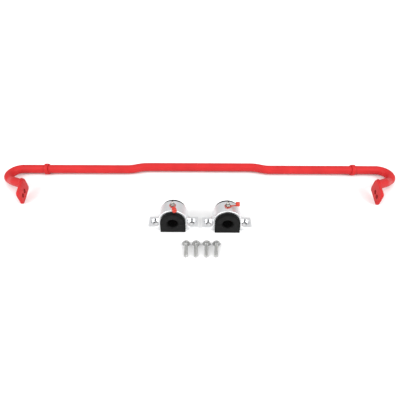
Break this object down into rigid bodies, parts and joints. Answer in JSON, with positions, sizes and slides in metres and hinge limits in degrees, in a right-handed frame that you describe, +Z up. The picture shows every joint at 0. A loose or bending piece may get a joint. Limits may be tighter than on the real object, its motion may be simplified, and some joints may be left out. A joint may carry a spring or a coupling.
{
  "type": "sway bar kit",
  "caption": "Automotive sway bar with hooked ends and drilled link plates, laid out with its arched bushing brackets, grease fittings, dust caps and flange bolts.",
  "frame": {"origin": "middle of the whole layout, on the surface that it lies on", "axes": "+X along the bar to its right end, +Y from the bolts towards the bar, +Z up"},
  "size_m": [1.0048, 0.3137, 0.0662],
  "materials": {
    "bar_coat": "gloss red powder coat",
    "billet": "satin machined",
    "urethane": "matte",
    "zinc_plate": "zinc plated",
    "ball_steel": "polished",
    "spring_steel": "drawn wire",
    "red_plastic": "moulded"
  },
  "bodies": {
    "bar_left": {"left_bar_half": "bar_coat", "left_locating_collar": "bar_coat", "left_link_plate": "bar_coat", "left_plate_weld": "bar_coat"},
    "bar_right": {"right_bar_half": "bar_coat", "right_locating_collar": "bar_coat", "right_link_plate": "bar_coat", "right_plate_weld": "bar_coat"},
    "bushing_left": {"left_bushing": "urethane"},
    "bracket_left": {"left_bracket_housing": "billet", "left_grease_fitting": "zinc_plate", "left_check_spring": "spring_steel"},
    "check_ball_left": {"left_check_ball": "ball_steel"},
    "dust_cap_left": {"left_dust_cap": "red_plastic"},
    "bushing_right": {"right_bushing": "urethane"},
    "bracket_right": {"right_bracket_housing": "billet", "right_grease_fitting": "zinc_plate", "right_check_spring": "spring_steel"},
    "check_ball_right": {"right_check_ball": "ball_steel"},
    "dust_cap_right": {"right_dust_cap": "red_plastic"},
    "bolt_1": {"flange_bolt_1": "zinc_plate"},
    "bolt_2": {"flange_bolt_2": "zinc_plate"},
    "bolt_3": {"flange_bolt_3": "zinc_plate"},
    "bolt_4": {"flange_bolt_4": "zinc_plate"}
  },
  "joints": [
    {"name": "bar_twist", "type": "hinge", "parent": "bar_left", "child": "bar_right", "pos_m": [0, 0.1459, 0.0144], "axis": [1, 0, 0], "range_deg": [-12, 12], "stiffness_Nm_per_rad": 2235},
    {"name": "left_bushing_lift", "type": "slide", "parent": "bar_left", "child": "bushing_left", "axis": [0, 0, 1], "range_m": [0, 0.06]},
    {"name": "left_bracket_lift", "type": "slide", "parent": "bushing_left", "child": "bracket_left", "axis": [0, 0, 1], "range_m": [0, 0.06]},
    {"name": "left_check_ball_press", "type": "slide", "parent": "bracket_left", "child": "check_ball_left", "axis": [0, 0, -1], "range_m": [0, 0.0008], "stiffness_N_per_m": 300, "springref_m": -0.001, "deforming": ["left_check_spring"]},
    {"name": "left_dust_cap_swivel", "type": "hinge", "parent": "bracket_left", "child": "dust_cap_left", "pos_m": [-0.0594, -0.0596, 0.0555], "axis": [0, 0, 1], "continuous": true},
    {"name": "right_bushing_lift", "type": "slide", "parent": "bar_left", "child": "bushing_right", "axis": [0, 0, 1], "range_m": [0, 0.06]},
    {"name": "right_bracket_lift", "type": "slide", "parent": "bushing_right", "child": "bracket_right", "axis": [0, 0, 1], "range_m": [0, 0.06]},
    {"name": "right_check_ball_press", "type": "slide", "parent": "bracket_right", "child": "check_ball_right", "axis": [0, 0, -1], "range_m": [0, 0.0008], "stiffness_N_per_m": 300, "springref_m": -0.001, "deforming": ["right_check_spring"]},
    {"name": "right_dust_cap_swivel", "type": "hinge", "parent": "bracket_right", "child": "dust_cap_right", "pos_m": [0.0576, -0.0611, 0.0555], "axis": [0, 0, 1], "continuous": true},
    {"name": "bolt_1_lift", "type": "slide", "parent": "bar_left", "child": "bolt_1", "axis": [0, 0, 1], "range_m": [0, 0.05]},
    {"name": "bolt_2_lift", "type": "slide", "parent": "bar_left", "child": "bolt_2", "axis": [0, 0, 1], "range_m": [0, 0.05]},
    {"name": "bolt_3_lift", "type": "slide", "parent": "bar_left", "child": "bolt_3", "axis": [0, 0, 1], "range_m": [0, 0.05]},
    {"name": "bolt_4_lift", "type": "slide", "parent": "bar_left", "child": "bolt_4", "axis": [0, 0, 1], "range_m": [0, 0.05]}
  ]
}
